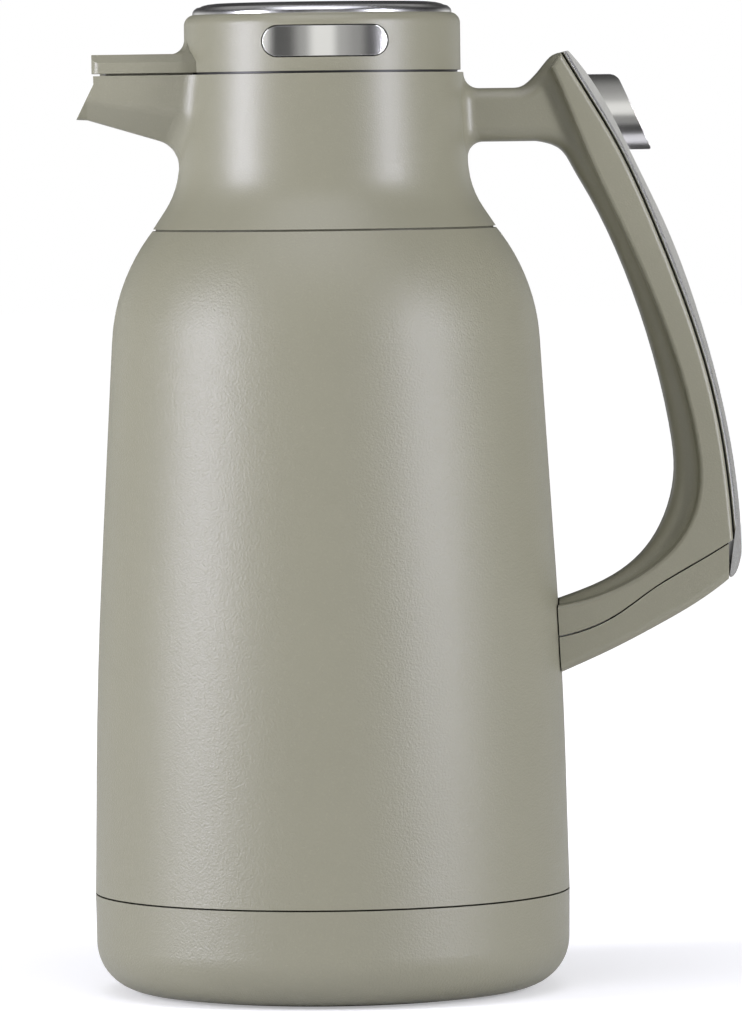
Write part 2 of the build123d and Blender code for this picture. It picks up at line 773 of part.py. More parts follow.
def handle_trim():
    """Polished steel strip down the back of the handle, with the opening for the thumb button."""
    inner = line_of(trim_edge, trim_gap)
    outer = line_of(outer_edge[::-1])
    corner = grip(*trim_edge[-1], trim_gap)
    low_inner = grip(cover_reach + 0.3, 28.0)
    heel = Spline(grip(49.3, 26.9), grip(51.6, 30.4), outer @ 0, tangents=[(0.86, 0, 0.5), (outer % 0)])
    face = joined(inner, Line(corner, low_inner), heel, outer)
    strip = plate(face, trim_half_width)
    middle = grip(*outer_edge[3])
    edges = []
    for side in (-trim_half_width, trim_half_width):
        edges += near(strip, (middle.X, side, middle.Z))
    strip = fillet(edges, trim_round)
    window = button_outline(button_depth + 20.0, slide_clearance, 25.0)
    return strip - slab(window, button_half_width + slide_clearance)


def handle_lower_cover():
    """Cover that closes the handle from below."""
    seam = [grip(out, up - cover_gap) for out, up in under_edge[1:]]
    under = Spline(grip(cover_reach, 36.9), *seam)
    bottom = line_of(bottom_edge[::-1])
    form = plate(joined(under, bottom), handle_half_width)
    middle = grip(*bottom_edge[2])
    edges = []
    for side in (-handle_half_width, handle_half_width):
        edges += near(form, (middle.X, side, middle.Z))
    form = fillet(edges, cover_round)
    inside = [grip(out - cover_wall * 0.5, up + cover_wall * 0.87) for out, up in bottom_edge[::-1]]
    right = grip(cover_reach - cover_wall, 40.0)
    right_low = grip(cover_reach - cover_wall, 27.5)
    left = grip(*under_edge[-1]) + Vector(0, 0, 3.0)
    hollow = joined(Line(right, left), Spline(*inside), Line(right_low, right))
    return form - shell_form(-foot_gap) - plate(hollow, handle_half_width - cover_wall)


def handle_bracket():
    """Steel bracket welded to the body, with a tongue for the handle's screw."""
    welded = block(foot_x - 4, foot_x + 1.9, -bracket_half_width, bracket_half_width,
                   bracket_top - bracket_height, bracket_top)
    tongue = bracket_line(0.0, 1.0, bracket_reach) + bracket_line(-bracket_sheet, 1.0, bracket_reach)[::-1]
    hole = at_foot(rod(bracket_screw_radius + 0.1, (0, 0, -8), (0, 0, 8)))
    return welded + slab(tongue, bracket_half_width - 1.0) - shell_form(0) - hole


def bracket_screw():
    """Screw through the bracket's tongue up into the handle."""
    screwed = screw(bracket_screw_radius, bracket_screw_radius * 2, 2.0, bracket_screw_length)
    return at_foot(Pos(0, 0, -bracket_sheet) * screwed)


def thumb_button():
    """Polished button on the back of the handle."""
    return slab(button_outline(button_depth, 0.0, 0.0), button_half_width)


def button_core():
    """Plastic slide behind the button that holds the push rod."""
    lean = button_lean * core_half_height / (button_height / 2)
    back = foot_x + button_out - button_depth
    core = slab([
        (core_x, rod_z - core_half_height), (core_x, rod_z + core_half_height),
        (back - lean, rod_z + core_half_height), (back + lean, rod_z - core_half_height),
    ], core_half_width)
    return core - rod(rod_radius + press_clearance, (core_x - 1, 0, rod_z), (core_x + rod_grip, 0, rod_z))


def push_rod():
    """Steel rod through the arm, from the button's slide to the lid."""
    return rod(rod_radius, (tip_x + tip_length, 0, rod_z), (core_x + rod_grip, 0, rod_z))


def rod_tip():
    """Rounded plastic end of the push rod."""
    tip = turned([(0, 0), (rod_radius, 0, 0.8), (rod_radius, tip_length), (0, tip_length)])
    return tip.moved(Location((tip_x, 0, rod_z), (0, 90, 0)))


def thumb_spring():
    """Return spring of the thumb button, round the rod."""
    spring = coil(thumb_coil, spring_wire, 6, core_x - spring_x)
    return spring.moved(Location((spring_x, 0, rod_z), (0, 90, 0)))


def lid_cover_form(shrink, low, high):
    """Plan of the spout's cover, its edge moved inwards by shrink, between two heights."""
    front = cover_x + shrink
    half = spout_half_width - 0.3 - shrink
    tip = spout_tip_half_width + 1.3 - shrink
    path = FilletPolyline(
        (-bore_radius + 8, half, low), (-rim_radius, half, low), (front, tip, low),
        (front, -tip, low), (-rim_radius, -half, low), (-bore_radius + 8, -half, low),
        radius=[0, 12.0, 3.0, 3.0, 12.0, 0], close=True)
    return extrude(Face(path), high - low, dir=(0, 0, 1))


def cover_bevels():
    """Form with bevelled long sides that the spout's cover is cut to."""
    top = lid_z + cover_rise
    knee = top - cover_bevel_rise
    root_half = spout_half_width - 0.3
    narrowing = (root_half - spout_tip_half_width - 1.3) / (-rim_radius - cover_x)
    sections = []
    for x, half in ((8 - bore_radius, root_half), (-rim_radius, root_half),
                    (cover_x - 1, spout_tip_half_width + 1.3 - narrowing)):
        high = half - cover_bevel_run
        corners = [(x, half, lid_z), (x, half, knee), (x, high, top), (x, -high, top), (x, -half, knee),
                   (x, -half, lid_z)]
        sections.append(Face(Wire.make_polygon(corners)))
    return loft(sections[:2], ruled=True) + loft(sections[1:], ruled=True)


def cover_rib():
    """Rib under the cover that keeps drips and light out of the seam above the spout."""
    low = lid_z - rib_drop
    high = lid_z + cover_hollow + 0.3
    inside = lid_cover_form(lid_wall + rib_sheet, low - 1, high + 1)
    return lid_cover_form(lid_wall, low, high) - inside - rod(lid_radius, (0, 0, low - 1), (0, 0, high + 1))


def cover_root():
    """Hollow curve that leads the spout's cover up into the side of the lid."""
    low = lid_z + cover_rise - cover_bevel_rise
    top = lid_z + cover_rise
    high = top + cover_blend + 1
    far = lid_radius + cover_blend + 1
    curve = turned([
        (lid_radius - 1, low), (far, low), (far, top),
        (lid_radius, top, cover_blend), (lid_radius, high), (lid_radius - 1, high),
    ])
    half = spout_half_width - 1.2
    lean = cover_bevel_run / cover_bevel_rise * (cover_blend + 1 + cover_bevel_rise)
    path = Polyline((0, -half, low), (0, -half + lean, high), (0, half - lean, high), (0, half, low),
                    close=True)
    return curve & extrude(Face(Wire(path)), rim_radius + 20, dir=(-1, 0, 0))


def lid_shell():
    """Painted top of the lid with the cover over the spout."""
    edge_z = cap_z + 0.4
    ring = turned([(0, lid_z), (lid_radius, lid_z), (lid_radius, edge_z, lid_round), (0, edge_z)])
    cover = lid_cover_form(0.0, lid_z, lid_z + cover_rise) & cover_bevels()
    ring = ring + (cover - rod(lid_radius - 3, (0, 0, lid_z - 1), (0, 0, top_z)))
    ring += cover_root()
    ring -= rod(lid_radius - lid_wall, (0, 0, lid_z - 1), (0, 0, deck_under_z))
    ring -= lid_cover_form(lid_wall, lid_z - 1, lid_z + cover_hollow)
    ring += cover_rib()
    ring -= rod(cap_radius + 0.05, (0, 0, cap_z), (0, 0, top_z))
    for side in (-1, 1):
        ring -= pill(release_half_length, release_height, side)
    for x, y in screw_places():
        boss = rod(3.4, (x, y, lid_z + base_sheet), (x, y, deck_under_z + 0.5))
        ring += boss - rod(screw_radius + press_clearance, (x, y, lid_z), (x, y, deck_under_z - 2.5))
    return ring


def screw_places():
    """Where four screws join the stopper, the base plate and the lid's top."""
    return [(screw_circle * math.cos(math.radians(a)), screw_circle * math.sin(math.radians(a)))
            for a in (45, 135, 225, 315)]


def lid_top_cap():
    """Brushed steel disc on top of the lid."""
    flat = cap_radius * cap_flat
    dome = turned([
        (0, cap_z), (cap_radius, cap_z), (cap_radius, top_z - cap_edge, 0.9),
        (flat, top_z, 22.0), (0, top_z),
    ])
    inside = cap_radius - cap_thickness
    under = top_z - cap_thickness
    inner = turned([
        (0, cap_z - 1), (inside, cap_z - 1), (inside, top_z - cap_edge - 0.7),
        (flat - cap_thickness * 0.4, under, 21.0), (0, under),
    ])
    return dome - inner


def lid_base():
    """Plate that closes the lid from below, with the skirt that carries the lid's gasket."""
    low = rim_z - skirt_drop
    inside = skirt_radius - skirt_sheet
    form = rod(lid_radius - seam_depth, (0, 0, base_under_z), (0, 0, lid_z))
    form += rod(lid_radius - lid_wall - base_clearance, (0, 0, lid_z), (0, 0, lid_z + base_sheet))
    form += tube(skirt_radius, inside, low, base_under_z)
    form += tube(bore_radius - 0.4, inside, low, low + skirt_foot)
    slot = hook_half_width + 1.2
    guide = latch_half_width + latch_gap
    for side in (-1, 1):
        form += block(-5, 5, side * (release_stop - 1.8), side * release_stop,
                      lid_z + base_sheet, release_z + 4.5)
        for x in (-guide - 2.0, guide):
            form += block(x, x + 2.0, side * (release_back - 2.7), side * (release_back + 4.6),
                          lid_z + base_sheet, release_z + 4.3)
        form -= block(-slot, slot, side * (hook_inside - release_travel - latch_gap),
                      side * (bore_radius - 0.1), hook_z - latch_gap, lid_z + base_sheet + 1)
    for x, y in screw_places():
        form -= rod(screw_radius + rod_clearance, (x, y, base_under_z - 1), (x, y, lid_z + 3))
    return form


def lid_gasket():
    """Silicone ring round the lid's skirt."""
    low = rim_z - skirt_drop + skirt_foot
    return tube(bore_radius - seal_clearance, skirt_radius, low, low + gasket_height)


def lid_screws():
    """Screws from the stopper's flange up into the lid."""
    return [Pos(x, y, base_under_z - stopper_flange)
            * screw(screw_radius, screw_head_radius, screw_head_height, 12.5)
            for x, y in screw_places()]


def stopper_body():
    """Tube that goes down the neck, with the valve's port below and the slide's guide above."""
    lap = stopper_inner + 0.5
    plate_top = stopper_z + plate_thickness
    body = tube(stopper_radius, stopper_inner, stopper_z, base_under_z)
    body += tube(lap, stopper_inner - 7.0, base_under_z - stopper_flange, base_under_z)
    body += tube(lap, port_radius, stopper_z, plate_top)
    hub = rod(hub_radius, (0, 0, stopper_z), (0, 0, plate_top))
    for angle in (0, 120, 240):
        hub += block(0, port_radius + 1, -1.2, 1.2, stopper_z, plate_top).rotate(Axis.Z, angle)
    body += hub - rod(stem_radius + rod_clearance, (0, 0, stopper_z - 1), (0, 0, plate_top + 1))
    body += tube(lap, bush_radius, deck_z - deck_thickness, deck_z)
    body += block(stopper_inner - 9.0, stopper_inner + 1.0, -5.5, 5.5, rod_z - 5.5, rod_z + 5.5)
    guide = slider_half_width + latch_gap
    for side in (-1, 1):
        body += block(-8.0, 10.0, side * guide, side * (guide + 1.7), deck_z - 1, rod_z + 1.0)
    far = stopper_radius + 3
    body -= rod(slider_radius + rod_clearance, (stopper_inner - 12, 0, rod_z), (far, 0, rod_z))
    body -= rod(slider_seal_radius, (stopper_radius - 2.6, 0, rod_z), (far, 0, rod_z))
    body -= block(-stopper_radius - 2, 8 - stopper_inner, -18, 18,
                  floor_z + 0.4, deck_z - deck_thickness - 0.5)
    for x, y in screw_places():
        body -= rod(screw_radius + rod_clearance, (x, y, base_under_z - 4), (x, y, base_under_z + 1))
    return body


def stopper_seal():
    """Silicone ring between the stopper and the steel neck."""
    return tube(mouth_radius - seal_clearance, stopper_radius, lip_z - 5.0, lip_z - 1.5)


def stem_bush():
    """Bush that guides and seals the valve's stem through the stopper's deck."""
    low = deck_z - deck_thickness - 0.8
    return tube(bush_radius, stem_radius + rod_clearance, low, deck_z + 0.6)


def slider_seal():
    """Seal round the slide where it leaves the stopper."""
    ring = rod(slider_seal_radius, (stopper_radius - 2.6, 0, rod_z), (stopper_radius - 0.6, 0, rod_z))
    return ring - rod(slider_radius + rod_clearance, (0, 0, rod_z), (stopper_radius + 3, 0, rod_z))


def cam_slider():
    """Slide in the lid with a 45 degree nose that drives the valve down."""
    line = head_top + wedge_gap
    low = rod_z - slider_half_height
    high = rod_z + slider_half_height
    nose = slab([(line - low, low), (line - high, high), (12.0, high), (12.0, low)], slider_half_width)
    return nose + rod(slider_radius, (11.0, 0, rod_z), (tip_x - 0.3, 0, rod_z))


def valve_head():
    """Wedge on top of the stem."""
    low = head_top - wedge_height
    run = wedge_height - 0.3
    head = slab([(-run, low), (run, low), (run, low + 0.3), (0.0, head_top), (-run, head_top)],
                wedge_half_width)
    return head - rod(stem_radius + press_clearance, (0, 0, low - 1), (0, 0, low + 3.5))


def valve_stem():
    """Steel stem from the plug to the wedge, with the washer that the spring pushes on."""
    stem = rod(stem_radius, (0, 0, plug_z), (0, 0, head_top - wedge_height + 3.5))
    return stem + rod(valve_coil + 1.1, (0, 0, washer_z), (0, 0, washer_z + washer_sheet))


def valve_plug():
    """Plastic disc that closes the port from below."""
    top = stopper_z - valve_gap - valve_seal_sheet
    inside = stem_radius + press_clearance
    edge = port_radius + valve_reach
    return turned([
        (inside, plug_z), (6.0, plug_z, 0.6), (edge, top - 1.6, 0.6), (edge, top), (inside, top),
    ])


def valve_seal():
    """Silicone washer on the plug."""
    top = stopper_z - valve_gap
    return tube(port_radius + valve_reach, port_radius - 2.5, top - valve_seal_sheet, top)


def valve_spring():
    """Spring that holds the valve shut."""
    return Pos(0, 0, stopper_z + plate_thickness) * coil(valve_coil, spring_wire, 4, washer_rise)


def release_button(side):
    """Polished pill in the side of the lid."""
    form = pill(release_half_length - release_gap, release_height - 2 * release_gap, side)
    return form & tube(lid_radius + 0.15, lid_radius - release_face, lid_z, cap_z)


def release_latch(side):
    """Slide behind the pill, with the arm and hook that reach down into the collar."""
    edge = release_gap + 0.5
    form = pill(release_half_length - edge, release_height - 2 * edge, side)
    form &= rod(lid_radius - release_face, (0, 0, lid_z), (0, 0, top_z))
    form += block(-latch_half_width, latch_half_width, side * release_back, side * (release_back + 9.5),
                  release_z - latch_half_height, release_z + latch_half_height)
    form += block(-hook_half_width, hook_half_width, side * hook_inside, side * (bore_radius - 1.3),
                  hook_z, release_z)
    nose = block(1 - hook_half_width, hook_half_width - 1, side * hook_inside, side * bore_radius,
                 hook_z, hook_z + hook_sheet)
    return form + (nose & rod(bore_radius - 0.3, (0, 0, hook_z - 1), (0, 0, hook_z + 5)))


def release_spring(side):
    """Spring that pushes the latch outwards."""
    spring = coil(release_coil, release_wire, 4, release_spring_length)
    return spring.moved(Location((0, side * release_stop, release_z), (-90 * side, 0, 0)))


def save(name, part):
    """Write one sub-part."""
    solids = part if isinstance(part, list) else list(part.solids())
    shape = solids[0] if len(solids) == 1 else Compound(children=[Compound([s]) for s in solids])
    export_step(shape, os.path.join("parts", name + ".step"))


os.makedirs("parts", exist_ok=True)
for build in (
    outer_shell, inner_liner, outer_bottom, getter, vacuum_plug, base_cup, base_pad,
    neck_ring, collar_gasket, collar_and_handle, rod_seal, trim_carrier, carrier_screws,
    handle_trim, handle_lower_cover, handle_bracket, bracket_screw,
    thumb_button, button_core, push_rod, rod_tip, thumb_spring,
    lid_shell, lid_top_cap, lid_base, lid_gasket, lid_screws, stopper_body, stopper_seal,
    stem_bush, slider_seal, cam_slider, valve_head, valve_stem, valve_plug, valve_seal, valve_spring,
):
    save(build.__name__, build())
for side, place in ((-1, "front"), (1, "back")):
    save("release_button_" + place, release_button(side))
    save("release_latch_" + place, release_latch(side))
    save("release_spring_" + place, release_spring(side))
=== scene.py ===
import json
import math

import bpy
from mathutils import Matrix, Vector


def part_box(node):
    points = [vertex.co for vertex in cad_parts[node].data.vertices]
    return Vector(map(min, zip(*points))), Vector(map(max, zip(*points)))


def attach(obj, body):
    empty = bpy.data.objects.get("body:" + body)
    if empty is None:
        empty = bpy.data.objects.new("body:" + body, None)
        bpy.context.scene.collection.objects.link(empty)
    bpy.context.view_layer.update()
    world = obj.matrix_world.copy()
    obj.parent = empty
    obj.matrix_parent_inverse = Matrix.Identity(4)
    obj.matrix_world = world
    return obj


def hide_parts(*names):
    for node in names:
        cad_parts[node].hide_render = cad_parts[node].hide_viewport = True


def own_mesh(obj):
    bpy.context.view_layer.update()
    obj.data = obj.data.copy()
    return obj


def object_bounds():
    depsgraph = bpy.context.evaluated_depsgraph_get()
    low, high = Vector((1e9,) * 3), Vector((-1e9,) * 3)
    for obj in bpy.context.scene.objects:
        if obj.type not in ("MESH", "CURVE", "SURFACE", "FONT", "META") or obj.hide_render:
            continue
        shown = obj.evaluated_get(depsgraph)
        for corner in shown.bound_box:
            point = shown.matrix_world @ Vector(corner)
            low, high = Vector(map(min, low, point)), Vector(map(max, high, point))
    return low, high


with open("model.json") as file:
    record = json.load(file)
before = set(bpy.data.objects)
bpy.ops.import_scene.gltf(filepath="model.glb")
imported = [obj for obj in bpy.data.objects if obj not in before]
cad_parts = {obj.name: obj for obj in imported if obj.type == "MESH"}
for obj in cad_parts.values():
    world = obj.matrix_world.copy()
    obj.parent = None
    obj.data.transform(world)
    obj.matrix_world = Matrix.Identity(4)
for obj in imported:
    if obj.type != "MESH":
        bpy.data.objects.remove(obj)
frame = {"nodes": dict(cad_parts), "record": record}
cad_low, cad_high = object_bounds()

# Finishes, as linear colours
warm_paint = (0.192, 0.186, 0.129)
plated_metal = (0.76, 0.755, 0.725)
bare_steel = (0.66, 0.655, 0.64)
dark_plastic = (0.022, 0.021, 0.020)
milky_silicone = (0.38, 0.38, 0.36)
white_acetal = (0.70, 0.69, 0.66)

# Studio levels. Walls are listed by degrees from the camera's side towards the handle, and heights
# by the height of a direction, from level to straight up
room_light = 0.36
lamp_tint = (0.93, 0.93, 1.06)
near_glow = 0.34
far_glow = 0.74
wall_levels = [
    (-180, 0.15), (-163, 0.3), (-150, 1.0), (-122, 0.8), (-96, 0.25), (-72, 0.9), (-52, 1.0), (-40, 0.10),
    (-30, 0.12), (-17, 0.45), (-6, 1.0), (5, 1.0), (14, 0.5), (28, 0.35), (40, 0.07), (54, 0.10), (62, 0.85),
    (76, 0.35), (100, 0.12), (122, 0.25), (137, 0.9), (150, 1.0), (163, 0.3), (180, 0.15)]
height_levels = [(0.0, 1.0), (0.06, 1.0), (0.13, 0.5), (0.22, 0.35), (0.34, 0.06), (0.50, 0.10),
                 (0.72, 0.45), (1.0, 0.35)]


# Node helpers

# Sockets of a colour mix, by place, because the node's number and vector sockets share their names
mix_first, mix_second, mix_result = 6, 7, 2


def add_node(tree, kind, values=None, **settings):
    """New node with its settings and the start values of its inputs."""
    node = tree.nodes.new(kind)
    for name, value in settings.items():
        setattr(node, name, value)
    for name, value in (values or {}).items():
        node.inputs[name].default_value = value
    return node


def wire(tree, source, target):
    """Link from an output socket to an input socket."""
    tree.links.new(source, target)


def new_group(name, inputs, outputs):
    """Node group with its named sockets, and the nodes at its two ends."""
    group = bpy.data.node_groups.new(name, "ShaderNodeTree")
    for label, kind, value in inputs:
        socket = group.interface.new_socket(label, in_out="INPUT", socket_type=kind)
        if value is not None:
            socket.default_value = value
    for label, kind in outputs:
        group.interface.new_socket(label, in_out="OUTPUT", socket_type=kind)
    return group, group.nodes.new("NodeGroupInput"), group.nodes.new("NodeGroupOutput")


def grain_group():
    """Fine texture of a sprayed coat: a height, and flecks where the grains catch light."""
    group, source, result = new_group(
        "sprayed grain",
        [("Vector", "NodeSocketVector", None), ("Scale", "NodeSocketFloat", 1500.0)],
        [("Height", "NodeSocketFloat"), ("Fleck", "NodeSocketFloat"), ("Mottle", "NodeSocketFloat")])
    fine = add_node(group, "ShaderNodeTexNoise", {"Detail": 3.0, "Roughness": 0.6})
    wire(group, source.outputs["Vector"], fine.inputs["Vector"])
    wire(group, source.outputs["Scale"], fine.inputs["Scale"])
    wire(group, fine.outputs["Fac"], result.inputs["Height"])
    fleck = add_node(group, "ShaderNodeMapRange", {"From Min": 0.55, "From Max": 0.72})
    wire(group, fine.outputs["Fac"], fleck.inputs["Value"])
    wire(group, fleck.outputs["Result"], result.inputs["Fleck"])
    slow = add_node(group, "ShaderNodeTexNoise", {"Scale": 32.0, "Detail": 4.0, "Roughness": 0.65})
    wire(group, source.outputs["Vector"], slow.inputs["Vector"])
    wire(group, slow.outputs["Fac"], result.inputs["Mottle"])
    return group


def edge_group():
    """Mask of the worn outer edges, broken up by a patchy noise."""
    group, source, result = new_group(
        "worn edges",
        [("Vector", "NodeSocketVector", None), ("Radius", "NodeSocketFloat", 0.0008)],
        [("Mask", "NodeSocketFloat")])
    rounded = add_node(group, "ShaderNodeBevel", samples=4)
    wire(group, source.outputs["Radius"], rounded.inputs["Radius"])
    surface = add_node(group, "ShaderNodeNewGeometry")
    turn = add_node(group, "ShaderNodeVectorMath", operation="DOT_PRODUCT")
    wire(group, rounded.outputs["Normal"], turn.inputs[0])
    wire(group, surface.outputs["Normal"], turn.inputs[1])
    edge = add_node(group, "ShaderNodeMapRange", {"From Min": 0.985, "From Max": 0.90})
    wire(group, turn.outputs["Value"], edge.inputs["Value"])
    patches = add_node(group, "ShaderNodeTexNoise", {"Scale": 160.0, "Detail": 5.0, "Roughness": 0.7})
    wire(group, source.outputs["Vector"], patches.inputs["Vector"])
    worn = add_node(group, "ShaderNodeMapRange", {"From Min": 0.42, "From Max": 0.66})
    wire(group, patches.outputs["Fac"], worn.inputs["Value"])
    both = add_node(group, "ShaderNodeMath", operation="MULTIPLY", use_clamp=True)
    wire(group, edge.outputs["Result"], both.inputs[0])
    wire(group, worn.outputs["Result"], both.inputs[1])
    wire(group, both.outputs["Value"], result.inputs["Mask"])
    return group


def painted_seam_shade_group():
    """Mask of narrow gaps found by ambient occlusion, where shade is painted into the coat as dark colour
    and the coat is made dull.
    """
    group, source, result = new_group(
        "painted seam shade", [("Distance", "NodeSocketFloat", 0.0012)], [("Mask", "NodeSocketFloat")])
    closed = add_node(group, "ShaderNodeAmbientOcclusion", samples=6)
    wire(group, source.outputs["Distance"], closed.inputs["Distance"])
    mask = add_node(group, "ShaderNodeMapRange", {"From Min": 0.62, "From Max": 0.30})
    wire(group, closed.outputs["AO"], mask.inputs["Value"])
    wire(group, mask.outputs["Result"], result.inputs["Mask"])
    return group


def streak_group():
    """Long fine scratches of a brushed finish, drawn out along the vector's squeezed axis."""
    group, source, result = new_group(
        "brushed streaks",
        [("Vector", "NodeSocketVector", None)],
        [("Height", "NodeSocketFloat"), ("Streak", "NodeSocketFloat"), ("Smudge", "NodeSocketFloat")])
    fine = add_node(group, "ShaderNodeTexNoise", {"Scale": 1.0, "Detail": 4.0, "Roughness": 0.7})
    wire(group, source.outputs["Vector"], fine.inputs["Vector"])
    wire(group, fine.outputs["Fac"], result.inputs["Height"])
    streak = add_node(group, "ShaderNodeMapRange", {"From Min": 0.35, "From Max": 0.65})
    wire(group, fine.outputs["Fac"], streak.inputs["Value"])
    wire(group, streak.outputs["Result"], result.inputs["Streak"])
    slow = add_node(group, "ShaderNodeTexNoise", {"Scale": 0.02, "Detail": 3.0, "Roughness": 0.6})
    wire(group, source.outputs["Vector"], slow.inputs["Vector"])
    wire(group, slow.outputs["Fac"], result.inputs["Smudge"])
    return group


grain = grain_group()
worn_edges = edge_group()
painted_seam_shade = painted_seam_shade_group()
streaks = streak_group()


def new_material(name, metallic=0.0):
    """Material with a bare Principled shader; returns it with its tree, shader and Object coordinates."""
    material = bpy.data.materials.new(name)
    material.use_nodes = True
    tree = material.node_tree
    tree.nodes.clear()
    shader = add_node(tree, "ShaderNodeBsdfPrincipled", {"Metallic": metallic})
    end = add_node(tree, "ShaderNodeOutputMaterial")
    wire(tree, shader.outputs["BSDF"], end.inputs["Surface"])
    place = add_node(tree, "ShaderNodeTexCoord")
    return material, tree, shader, place.outputs["Object"]


def blend_colours(tree, mask, first, second):
    """Colour between two, by a mask; either colour may be a socket."""
    mix = add_node(tree, "ShaderNodeMix", data_type="RGBA")
    wire(tree, mask, mix.inputs["Factor"])
    for socket, colour in ((mix.inputs[mix_first], first), (mix.inputs[mix_second], second)):
        if isinstance(colour, tuple):
            socket.default_value = (*colour, 1.0)
        else:
            wire(tree, colour, socket)
    return mix.outputs[mix_result]


def spread(tree, value, low, high):
    """Value from 0 to 1, spread between two numbers."""
    node = add_node(tree, "ShaderNodeMapRange", {"To Min": low, "To Max": high})
    wire(tree, value, node.inputs["Value"])
    return node.outputs["Result"]


def tinted(colour, factor):
    """Colour made lighter or darker."""
    return tuple(channel * factor for channel in colour)


def shared(tree, group, vector, values=None):
    """Node of a shared group, fed with coordinates."""
    node = add_node(tree, "ShaderNodeGroup", values, node_tree=group)
    wire(tree, vector, node.inputs["Vector"])
    return node


def add_relief(tree, shader, texture, depth):
    """Bump from the height of a shared texture."""
    relief = add_node(tree, "ShaderNodeBump", {"Strength": 1.0, "Distance": depth})
    wire(tree, texture.outputs["Height"], relief.inputs["Height"])
    wire(tree, relief.outputs["Normal"], shader.inputs["Normal"])


def painted(name, colour, grain_scale, bump, roughness):
    """Sprayed satin paint with fine grain, slow drifts of tone, edges rubbed lighter, and painted shade
    darkening narrow gaps.
    """
    material, tree, shader, place = new_material(name)
    texture = shared(tree, grain, place, {"Scale": grain_scale})
    edges = shared(tree, worn_edges, place, {"Radius": 0.0008})
    base = blend_colours(tree, texture.outputs["Mottle"], tinted(colour, 0.965), tinted(colour, 1.035))
    speck = spread(tree, texture.outputs["Fleck"], 0.0, 0.30)
    base = blend_colours(tree, speck, base, tinted(colour, 1.28))
    rubbed = spread(tree, edges.outputs["Mask"], 0.0, 0.35)
    base = blend_colours(tree, rubbed, base, tinted(colour, 1.35))
    # Painted shade: narrow gaps found by ambient occlusion are darkened to a quarter of the colour, dulled,
    # and lose most of their shine
    seam_shade = add_node(tree, "ShaderNodeGroup", node_tree=painted_seam_shade)
    base = blend_colours(tree, seam_shade.outputs["Mask"], base, tinted(colour, 0.25))
    wire(tree, base, shader.inputs["Base Color"])
    satin = spread(tree, texture.outputs["Fleck"], roughness, roughness + 0.08)
    dulled = add_node(tree, "ShaderNodeMath", {1: 0.5, 2: 0.0}, operation="MULTIPLY_ADD", use_clamp=True)
    wire(tree, seam_shade.outputs["Mask"], dulled.inputs[0])
    wire(tree, satin, dulled.inputs[2])
    wire(tree, dulled.outputs["Value"], shader.inputs["Roughness"])
    wire(tree, spread(tree, seam_shade.outputs["Mask"], 0.5, 0.05), shader.inputs["Specular IOR Level"])
    add_relief(tree, shader, texture, bump)
    return material


def metal(name, colour, stretch, roughness, bump):
    """Metal with fine scratches along the axis that stretch squeezes, and faint smudges."""
    material, tree, shader, place = new_material(name, metallic=1.0)
    squeeze = add_node(tree, "ShaderNodeMapping", {"Scale": stretch})
    wire(tree, place, squeeze.inputs["Vector"])
    texture = shared(tree, streaks, squeeze.outputs["Vector"])
    edges = shared(tree, worn_edges, place, {"Radius": 0.0004})
    tone = blend_colours(tree, texture.outputs["Streak"], tinted(colour, 0.93), colour)
    tone = blend_colours(tree, spread(tree, edges.outputs["Mask"], 0.0, 0.5), tone, tinted(colour, 1.12))
    wire(tree, tone, shader.inputs["Base Color"])
    wire(tree, spread(tree, texture.outputs["Smudge"], roughness, roughness + 0.07),
         shader.inputs["Roughness"])
    add_relief(tree, shader, texture, bump)
    return material


def moulded(name, colour, grain_scale, bump, roughness):
    """Moulded plastic or rubber with a fine grain and slightly paler rubbed spots."""
    material, tree, shader, place = new_material(name)
    texture = shared(tree, grain, place, {"Scale": grain_scale})
    tone = blend_colours(tree, texture.outputs["Mottle"], tinted(colour, 0.88), tinted(colour, 1.15))
    wire(tree, tone, shader.inputs["Base Color"])
    wire(tree, spread(tree, texture.outputs["Mottle"], roughness - 0.05, roughness + 0.07),
         shader.inputs["Roughness"])
    add_relief(tree, shader, texture, bump)
    return material


def polished(name, colour, roughness):
    """Mirror plating with faint smudges and a very slight waviness."""
    material, tree, shader, place = new_material(name, metallic=1.0)
    texture = shared(tree, grain, place, {"Scale": 260.0})
    edges = shared(tree, worn_edges, place, {"Radius": 0.0003})
    tone = blend_colours(tree, texture.outputs["Mottle"], tinted(colour, 0.95), colour)
    tone = blend_colours(tree, spread(tree, edges.outputs["Mask"], 0.0, 0.4), tone, tinted(colour, 1.1))
    wire(tree, tone, shader.inputs["Base Color"])
    wire(tree, spread(tree, texture.outputs["Mottle"], roughness - 0.02, roughness + 0.03),
         shader.inputs["Roughness"])
    add_relief(tree, shader, texture, 0.0000015)
    return material


# Scales of the metals' streaks along X, Y and Z, where a low scale draws them out
along_handle = (2600.0, 2600.0, 90.0)
along_body = (1200.0, 1200.0, 40.0)
even_grain = (900.0, 900.0, 900.0)

body_coat = painted(
    "body coat", warm_paint, grain_scale=1500.0, bump=0.00017, roughness=0.37)
collar_coat = painted(
    "collar coat", tinted(warm_paint, 0.985), grain_scale=1900.0, bump=0.00007, roughness=0.37)
trim_finish = metal(
    "polished trim", tinted(plated_metal, 0.94), along_handle, roughness=0.18, bump=0.000004)
button_finish = polished("plated button", plated_metal, roughness=0.10)
cap_finish = metal("spun cap", bare_steel, even_grain, roughness=0.22, bump=0.000003)
sheet_finish = metal("drawn sheet", bare_steel, along_body, roughness=0.24, bump=0.000004)
wire_finish = metal("wire and screws", bare_steel, even_grain, roughness=0.20, bump=0.000002)
plastic_finish = moulded(
    "inner plastic", dark_plastic, grain_scale=1300.0, bump=0.00003, roughness=0.45)
silicone_finish = moulded(
    "silicone", milky_silicone, grain_scale=900.0, bump=0.00002, roughness=0.50)
acetal_finish = moulded("acetal", white_acetal, grain_scale=900.0, bump=0.00002, roughness=0.35)
pad_finish = moulded(
    "pad rubber", tinted(dark_plastic, 1.6), grain_scale=1100.0, bump=0.00005, roughness=0.62)

